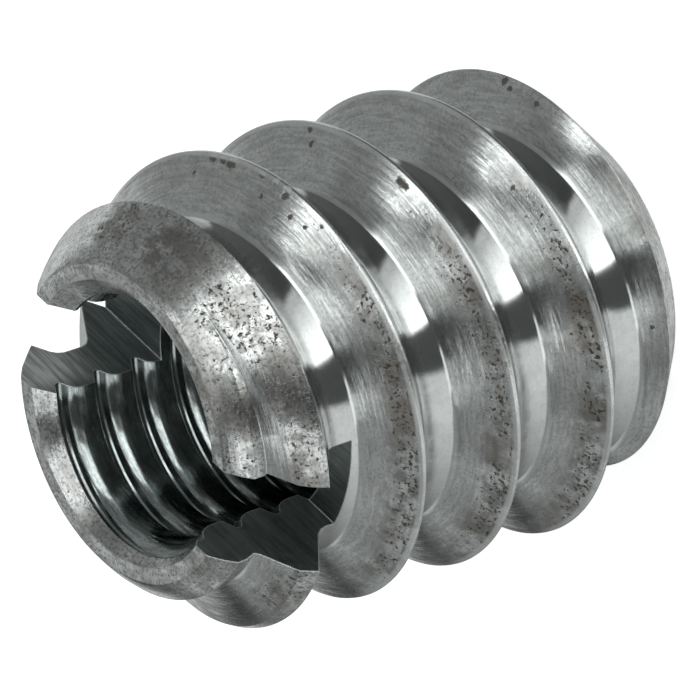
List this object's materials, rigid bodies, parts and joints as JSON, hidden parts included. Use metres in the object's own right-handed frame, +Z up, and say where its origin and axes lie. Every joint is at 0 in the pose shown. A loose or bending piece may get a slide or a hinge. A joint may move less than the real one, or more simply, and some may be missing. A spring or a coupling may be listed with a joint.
{
  "type": "threaded insert",
  "caption": "Slotted steel threaded insert for wood: coarse outer wood thread, fine machine thread in the through bore, driver slot across one end.",
  "frame": {"origin": "centre of the flat unslotted end, where the insert stands", "axes": "+Z up along the bore axis towards the slotted end; +X along the driver slot"},
  "size_m": [0.01, 0.01, 0.012],
  "materials": {
    "turned_steel": "bare turned free-cutting steel with fine tool marks and a few rust specks"
  },
  "bodies": {
    "root": {"insert": "turned_steel"}
  },
  "joints": []
}
